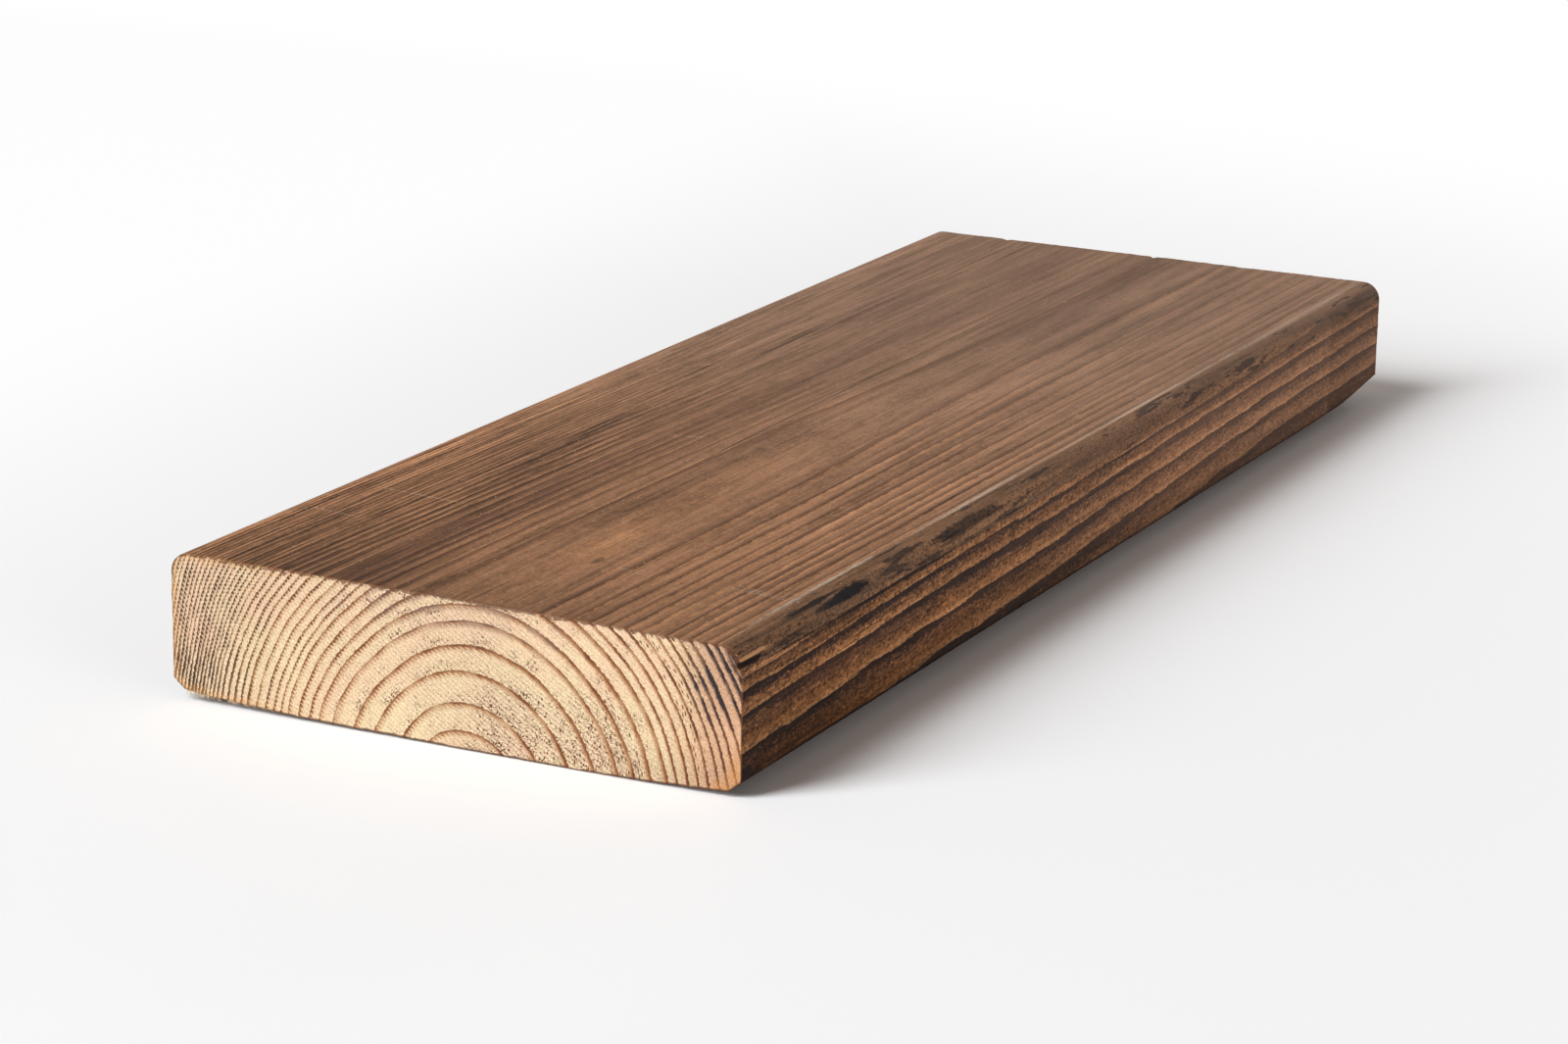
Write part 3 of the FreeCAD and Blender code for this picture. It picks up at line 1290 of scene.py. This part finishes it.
@dataclass(frozen=True)
class Board:
    """The board itself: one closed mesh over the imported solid, with its grain, wear and torn arrises."""

    section: BoardSection
    length: float
    front: float
    rings: GrowthRings = GrowthRings()
    stained: StainedFinish = StainedFinish()
    sawn: SawnFinish = SawnFinish()
    parts_across: int = 300
    parts_up: int = 72
    rows: int = 60
    row_growth: float = 2.2
    arris_rows: int = 3
    arris_wear: float = 0.3
    least_arris: float = 0.08
    unevenness: float = 0.45
    coarse_cell: Place = (3.0, 3.0, 1.0)
    fine_cell: Place = (0.9, 0.9, 1.0)
    ridge_depth: float = 0.12
    end_ridge_depth: float = 0.1
    # How far a ridge falls away inside its ring, and the widths of ring over which furrows come in.
    ridge_fall: tuple[float, float] = (0.2, 1.1)
    furrowed: tuple[float, float] = (1.5, 2.6)
    relief_cell: Place = (6.0, 50.0, 6.0)
    weld_distance: float = 0.002
    end_clearance: float = 2.0
    front_seed: int = 21
    back_seed: int = 31
    relief_seed: int = 41
    front_nicks: tuple[Nick, ...] = (
        Nick(-58.5, 1.6, 0.7), Nick(-50.6, 1.2, 0.9), Nick(-42.1, 1.3, 0.9), Nick(-46.5, 3.0, 0.4),
        Nick(27.0, 5.0, 0.5), Nick(70.5, 2.2, 0.8),
    )
    cut: CornerCut = CornerCut(6.8, 68.0, 16.0)
    gap: Gap = Gap(29.8, 0.8, 14.0, 1.3)
    fringe: Fringe = Fringe()
    back_nicks: tuple[Nick, ...] = (Nick(-46.2, 1.8, 1.0), Nick(1.7, 1.5, 1.1), Nick(30.0, 4.0, 0.4))

    def loop(self) -> np.ndarray:
        """Give the section's outline, clockwise as the front end is seen, from the upper left arris."""
        top, below, left, right = self.section.sides(self.parts_across, self.parts_up)
        return np.vstack([top[:-1], right[:-1], below[:0:-1], left[:0:-1]])

    def stations(self) -> np.ndarray:
        """Space the rows along the board, close together near the ends.

        Returns:
            Their distances from the front end.
        """
        share = np.linspace(-1, 1, self.rows)
        graded = np.sign(share) * (1 - (1 - np.abs(share)) ** self.row_growth)
        return (graded + 1) / 2 * self.length

    def outward(self, loop: np.ndarray) -> np.ndarray:
        """Give the outline's normals.

        Args:
            loop: The outline.

        Returns:
            A normal for each of its points, of length 1.
        """
        run = np.roll(loop, -1, axis=0) - np.roll(loop, 1, axis=0)
        normal = np.stack([-run[:, 1], run[:, 0]], 1)
        return normal / np.linalg.norm(normal, axis=1)[:, None]

    def arris_radius(self, loop: np.ndarray, nicks: Sequence[Nick], seed: int) -> np.ndarray:
        """Give how far the arris of an end is worn round at each point of the outline.

        Args:
            loop: The outline.
            nicks: Where it is torn.
            seed: The seed of its unevenness.

        Returns:
            The radius at each point.
        """
        spots = np.column_stack([loop, np.zeros(len(loop))])
        coarse = lattice(seed).at(spots, self.coarse_cell)
        fine = lattice(seed + 1).at(spots, self.fine_cell)
        radius = self.arris_wear * (1 + self.unevenness * coarse + self.unevenness * fine)
        on_top = loop[:, 1] > self.section.thickness * 0.8
        for nick in nicks:
            away = np.abs(loop[:, 0] - nick.across) / nick.half_width
            radius += on_top * nick.depth * (1 - smooth_step(0.2, 1.0, away)) * (1 + 0.4 * fine)
        return np.clip(radius, self.least_arris, None)

    def skin(self, loop: np.ndarray) -> np.ndarray:
        """Give the points of the long faces, row by row from the front end.

        Args:
            loop: The outline.

        Returns:
            The points, as rows of points round the outline.
        """
        normal = self.outward(loop)
        front = self.arris_radius(loop, self.front_nicks, self.front_seed)
        back = self.arris_radius(loop, self.back_nicks, self.back_seed)
        turns = np.linspace(0, math.pi / 2, self.arris_rows)
        stations = self.stations()[1:-1]
        rows = []
        for turn in turns:
            inset = loop - normal * (front * (1 - math.sin(turn)))[:, None]
            rows.append((inset, front * (1 - math.cos(turn))))
        clear = (stations > self.end_clearance) & (stations < self.length - self.end_clearance)
        for station in stations[clear]:
            rows.append((loop, np.full(len(loop), station)))
        for turn in turns[::-1]:
            inset = loop - normal * (back * (1 - math.sin(turn)))[:, None]
            rows.append((inset, self.length - back * (1 - math.cos(turn))))
        skin = np.array([np.column_stack([flat[:, 0], along, flat[:, 1]]) for flat, along in rows])
        skin[..., 2] = np.maximum(skin[..., 2], self.cut.height(skin, self.section.width, self.length))
        on_right = skin[..., 0] > self.section.width / 2 - self.section.arris_radius
        skin[..., 0] -= np.where(on_right, self.gap.sunk(skin), 0.0)
        return skin

    def cap(self, outline: np.ndarray) -> np.ndarray:
        """Fill an end with a grid that follows its outline.

        Args:
            outline: The end's own row of points.

        Returns:
            The grid's points, with those of the outline on its border, as [across, down].
        """
        wide, tall = self.parts_across, self.parts_up
        top = outline[: wide + 1]
        right = outline[wide : wide + tall + 1]
        below = outline[wide + tall : 2 * wide + tall + 1][::-1]
        left = np.vstack([outline[2 * wide + tall :], outline[:1]])[::-1]
        u = np.linspace(0, 1, wide + 1)[:, None, None]
        v = np.linspace(0, 1, tall + 1)[None, :, None]
        blended = (1 - v) * top[:, None] + v * below[:, None] + (1 - u) * left[None] + u * right[None]
        upper = (1 - v) * ((1 - u) * top[0] + u * top[-1])
        lower = v * ((1 - u) * below[0] + u * below[-1])
        return blended - upper - lower

    def cap_faces(self, start: int, first: int, back: bool) -> np.ndarray:
        """Number the corners of an end's faces.

        Args:
            start: The number of the end's own row's first point.
            first: The number of the grid's first inner point.
            back: Whether it is the far end, which faces the other way.

        Returns:
            Four corners for each face.
        """
        wide, tall = self.parts_across, self.parts_up
        number = np.zeros((wide + 1, tall + 1), int)
        number[1:-1, 1:-1] = first + np.arange((wide - 1) * (tall - 1)).reshape(wide - 1, tall - 1)
        around = 2 * (wide + tall)
        number[:, 0] = start + np.arange(wide + 1)
        number[-1, :] = start + wide + np.arange(tall + 1)
        number[:, -1] = start + wide + tall + np.arange(wide, -1, -1)
        number[0, :] = start + (around - np.arange(tall + 1)) % around
        corners = [number[:-1, :-1], number[:-1, 1:], number[1:, 1:], number[1:, :-1]]
        faces = np.stack([c.ravel() for c in corners], 1)
        return faces[:, ::-1] if back else faces

    def skin_faces(self, rows: int) -> np.ndarray:
        """Number the corners of the long faces' quads.

        Args:
            rows: How many rows of points there are.

        Returns:
            Four corners for each face.
        """
        around = 2 * (self.parts_across + self.parts_up)
        row, column = np.meshgrid(np.arange(rows - 1), np.arange(around), indexing="ij")
        beside = (column + 1) % around
        corners = [row * around + column, row * around + beside]
        corners += [(row + 1) * around + beside, (row + 1) * around + column]
        return np.stack([c.ravel() for c in corners], 1)

    def relief(self, places: np.ndarray, inward: np.ndarray, depth: float) -> np.ndarray:
        """Sink the earlywood a little below the latewood.

        Args:
            places: The points.
            inward: The way into the wood at each point.
            depth: How deep the earlywood lies.

        Returns:
            The moved points.
        """
        reading = self.rings.at(places, self.length)
        inside = (1 - reading.number % 1) * reading.width
        ridge = 1 - smooth_step(*self.ridge_fall, inside)
        wide = smooth_step(*self.furrowed, reading.width)
        uneven = 0.5 + 0.5 * lattice(self.relief_seed).at(places, self.relief_cell)
        sunk = depth * (wide * (1 - ridge) + 0.5 * uneven)
        return places + inward * sunk[:, None]

    def build(self) -> bpy.types.Object:
        """Make the board's mesh and dress it.

        Returns:
            The board.
        """
        loop = self.loop()
        skin = self.skin(loop)
        normal = self.outward(loop)
        rows, around = skin.shape[:2]
        wide, tall = self.parts_across, self.parts_up
        caps = [self.cap(skin[0]), self.cap(skin[-1])]

        inward = np.column_stack([-normal[:, 0], np.zeros(around), -normal[:, 1]])
        worked = skin.copy()
        for row in range(self.arris_rows - 1, rows - self.arris_rows + 1):
            worked[row] = self.relief(skin[row], inward, self.ridge_depth)
        inner = []
        for cap, way in zip(caps, (1.0, -1.0)):
            grid = cap[1:-1, 1:-1].reshape(-1, 3)
            inner.append(self.relief(grid, np.tile([0.0, way, 0.0], (len(grid), 1)), self.end_ridge_depth))
        fibres, fibre_faces = self.fringe.fibres(self.section)
        places = np.vstack([worked.reshape(-1, 3), *inner, fibres])
        still = [skin.reshape(-1, 3)] + [cap[1:-1, 1:-1].reshape(-1, 3) for cap in caps]
        still = np.vstack(still + [np.tile(self.fringe.like, (len(fibres), 1))])

        first = rows * around
        grid_size = (wide - 1) * (tall - 1)
        faces = [self.skin_faces(rows), self.cap_faces(0, first, False)]
        faces.append(self.cap_faces((rows - 1) * around, first + grid_size, True))
        faces.append(first + 2 * grid_size + fibre_faces)
        finish = np.full(sum(len(f) for f in faces), Face.SAWN.value)
        finish[around : (rows - 2) * around] = Face.STAINED.value

        mesh = mesh_of("decking_board_wood", self.placed(places), np.vstack(faces))
        mesh.polygons.foreach_set("material_index", finish.astype(np.int32))
        mesh.materials.append(self.stained.material(self.front, self.section.thickness))
        mesh.materials.append(self.sawn.material())
        self.carry(mesh, still, normal, loop, rows)
        weld(mesh, self.weld_distance * MM)
        board = bpy.data.objects.new("decking_board_wood", mesh)
        bpy.context.scene.collection.objects.link(board)
        return board

    def placed(self, places: np.ndarray) -> np.ndarray:
        """Turn millimetres from the front end into metres in the frame."""
        return (places + np.array([0.0, self.front, 0.0])) * MM

    def carry(
        self, mesh: bpy.types.Mesh, places: np.ndarray, normal: np.ndarray, loop: np.ndarray, rows: int
    ) -> None:
        """Write onto the mesh the numbers that its finishes read.

        Args:
            mesh: The board's mesh.
            places: Its points before their relief.
            normal: The outline's normals.
            loop: The outline.
            rows: How many rows the long faces have.
        """
        reading = self.rings.at(places, self.length)
        skin_count = rows * len(loop)
        upward = np.zeros(len(places))
        upward[:skin_count] = np.tile(smooth_step(0.55, 0.97, normal[:, 1]), rows)
        edge = np.minimum(places[:, 1], self.length - places[:, 1])
        tree = KDTree(len(loop))
        for number, (across, up) in enumerate(loop):
            tree.insert((across, 0.0, up), number)
        tree.balance()
        edge[skin_count:] = [tree.find((p[0], 0.0, p[2]))[2] for p in places[skin_count:]]
        carried = {"ring": reading.number, "ring_width": reading.width, "radius": reading.radius}
        carried.update({"arc": reading.arc, "upward": upward, "edge": edge})
        for name, numbers in carried.items():
            attribute = mesh.attributes.new(name, "FLOAT", "POINT")
            attribute.data.foreach_set("value", numbers.astype(np.float32))


def mesh_of(name: str, places: np.ndarray, faces: np.ndarray) -> bpy.types.Mesh:
    """Make a smooth mesh of four-cornered faces.

    Args:
        name: The mesh's name.
        places: Its points, in metres.
        faces: Four corners for each face.

    Returns:
        The mesh.
    """
    mesh = bpy.data.meshes.new(name)
    mesh.vertices.add(len(places))
    mesh.vertices.foreach_set("co", places.astype(np.float32).ravel())
    mesh.loops.add(faces.size)
    mesh.loops.foreach_set("vertex_index", faces.astype(np.int32).ravel())
    mesh.polygons.add(len(faces))
    mesh.polygons.foreach_set("loop_start", np.arange(0, faces.size, 4, dtype=np.int32))
    mesh.update(calc_edges=True)
    mesh.validate()
    mesh.polygons.foreach_set("use_smooth", np.ones(len(faces), bool))
    return mesh


def weld(mesh: bpy.types.Mesh, distance: float) -> None:
    """Join the points of a mesh that lie on each other.

    Args:
        mesh: The mesh.
        distance: How close together such points are, in metres.
    """
    whole = bmesh.new()
    whole.from_mesh(mesh)
    bmesh.ops.remove_doubles(whole, verts=whole.verts, dist=distance)
    whole.to_mesh(mesh)
    whole.free()


@dataclass(frozen=True)
class Lamp:
    """A soft lamp: the way to it from the board, its distance and size in metres, and its light.

    The level is what a white surface that faces the lamp shows, where 1 is white.
    """

    name: str
    way: Place
    distance: float
    size: tuple[float, float]
    level: float

    def build(self) -> bpy.types.Object:
        """Hang the lamp.

        Returns:
            The lamp.
        """
        light = bpy.data.lights.new(self.name, "AREA")
        light.shape = "RECTANGLE"
        light.size, light.size_y = self.size
        light.energy = self.level * math.pi**2 * self.distance**2
        way = Vector(self.way).normalized()
        lamp = bpy.data.objects.new(self.name, light)
        lamp.location = way * self.distance
        lamp.rotation_mode = "QUATERNION"
        lamp.rotation_quaternion = (-way).to_track_quat("-Z", "Y")
        bpy.context.scene.collection.objects.link(lamp)
        return lamp


@dataclass(frozen=True)
class Studio:
    """The pale floor, the soft light and the camera."""

    floor_size: float = 12.0
    floor_drop: float = 0.05 * MM
    # The board leans to the right on its bowed underside, so the floor falls away a little to the left.
    floor_fall: float = 0.0085
    floor_pivot: float = 27.5 * MM
    floor_colour: Colour = (0.9, 0.928, 0.95, 1.0)
    # Between these places, in millimetres, the floor gives way to white behind the board and on its left.
    behind: tuple[float, float] = (240.0, 640.0)
    beside: tuple[float, float] = (-330.0, -84.0)
    beside_share: float = 0.9
    ambient: float = 0.095
    ambient_colour: Colour = (1.0, 0.6, 0.37, 1.0)
    lamps: tuple[Lamp, ...] = (
        Lamp("key_lamp", (-0.44, -0.63, 0.625), 5.5, (2.2, 5.0), 1.45),
        Lamp("back_lamp", (0.15, 1.0, 0.25), 1.04, (0.4, 0.2), 0.14),
        Lamp("side_lamp", (0.93, -0.35, 0.1), 4.0, (2.4, 0.8), 0.6),
    )
    focal_px: float = 4280.707
    yaw: float = 26.8824
    pitch: float = 16.0489
    roll: float = 0.8704
    eye: Place = (458.275 * MM, -942.614 * MM, 302.387 * MM)

    def floor(self) -> bpy.types.Object:
        """Make the floor.

        Returns:
            The floor.
        """
        half = self.floor_size / 2
        corners = [(-half, -half), (half, -half), (half, half), (-half, half)]
        heights = [(x - self.floor_pivot) * self.floor_fall - self.floor_drop for x, _ in corners]
        places = np.array([(x, y, z) for (x, y), z in zip(corners, heights)])
        mesh = mesh_of("studio_floor", places, np.array([[0, 1, 2, 3]]))
        floor = bpy.data.objects.new("studio_floor", mesh)
        bpy.context.scene.collection.objects.link(floor)
        material, sheet = new_material("pale_floor")
        across, along, _ = sheet.split(sheet.place())
        away = along.rise(*self.behind).greater(across.fall(*self.beside) * self.beside_share)
        plain = sheet.surface({"Base Color": self.floor_colour, "Roughness": 0.6, "Specular IOR Level": 0.2})
        white = sheet.add("ShaderNodeEmission", {}, {"Color": (1, 1, 1, 1), "Strength": 1.0})
        both = sheet.add("ShaderNodeMixShader", {}, {0: away * sheet.seen(), 1: plain, 2: white.outputs[0]})
        sheet.add("ShaderNodeOutputMaterial", {}, {0: both.outputs[0]})
        floor.data.materials.append(material)
        return floor

    def world(self) -> None:
        """Make the surroundings white to the eye, and only a dim light on the board."""
        world = bpy.data.worlds.new("studio")
        world.use_nodes = True
        bpy.context.scene.world = world
        sheet = Sheet(world.node_tree)
        white = sheet.add("ShaderNodeBackground", {}, {"Color": (1, 1, 1, 1), "Strength": 1.0})
        dim = sheet.add("ShaderNodeBackground", {}, {"Color": self.ambient_colour, "Strength": self.ambient})
        both = sheet.add("ShaderNodeMixShader", {}, {0: sheet.seen(), 1: dim.outputs[0], 2: white.outputs[0]})
        sheet.add("ShaderNodeOutputWorld", {}, {0: both.outputs[0]})

    def camera(self) -> bpy.types.Object:
        """Set the camera where the photograph was taken.

        Returns:
            The camera.
        """
        yaw, pitch, roll = (math.radians(angle) for angle in (self.yaw, self.pitch, self.roll))
        ahead = Vector((-math.sin(yaw) * math.cos(pitch), math.cos(yaw) * math.cos(pitch), -math.sin(pitch)))
        level = Vector((math.cos(yaw), math.sin(yaw), 0.0))
        above = level.cross(ahead)
        right = math.cos(roll) * level + math.sin(roll) * above
        up = right.cross(ahead)
        data = bpy.data.cameras.new("photo_camera")
        data.sensor_fit = "HORIZONTAL"
        data.sensor_width = SENSOR_WIDTH_MM
        data.lens = self.focal_px * SENSOR_WIDTH_MM / PHOTO_WIDTH_PX
        camera = bpy.data.objects.new("photo_camera", data)
        turn = Matrix((right, up, -ahead)).transposed().to_4x4()
        camera.matrix_world = Matrix.Translation(self.eye) @ turn
        bpy.context.scene.collection.objects.link(camera)
        bpy.context.scene.camera = camera
        return camera

    def build(self) -> None:
        """Set the whole stage."""
        self.floor()
        self.world()
        for lamp in self.lamps:
            lamp.build()
        self.camera()
        bpy.context.scene.view_settings.view_transform = "Standard"


def report(piece: bpy.types.Object) -> None:
    """Log a piece's name and its number of faces."""
    log.info("%s: %d faces", piece.name, len(piece.data.polygons))


def main() -> None:
    """Build the board and its stage."""
    logging.basicConfig(level=logging.INFO, format="%(name)s: %(message)s")
    low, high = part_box(NODE)
    size = (high - low) / MM
    board = Board(BoardSection(size.x, size.z), size.y, low.y / MM)
    wood = board.build()
    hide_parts(NODE)
    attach(wood, BODY)
    report(wood)
    Studio().build()


if __name__ == "__main__":
    main()
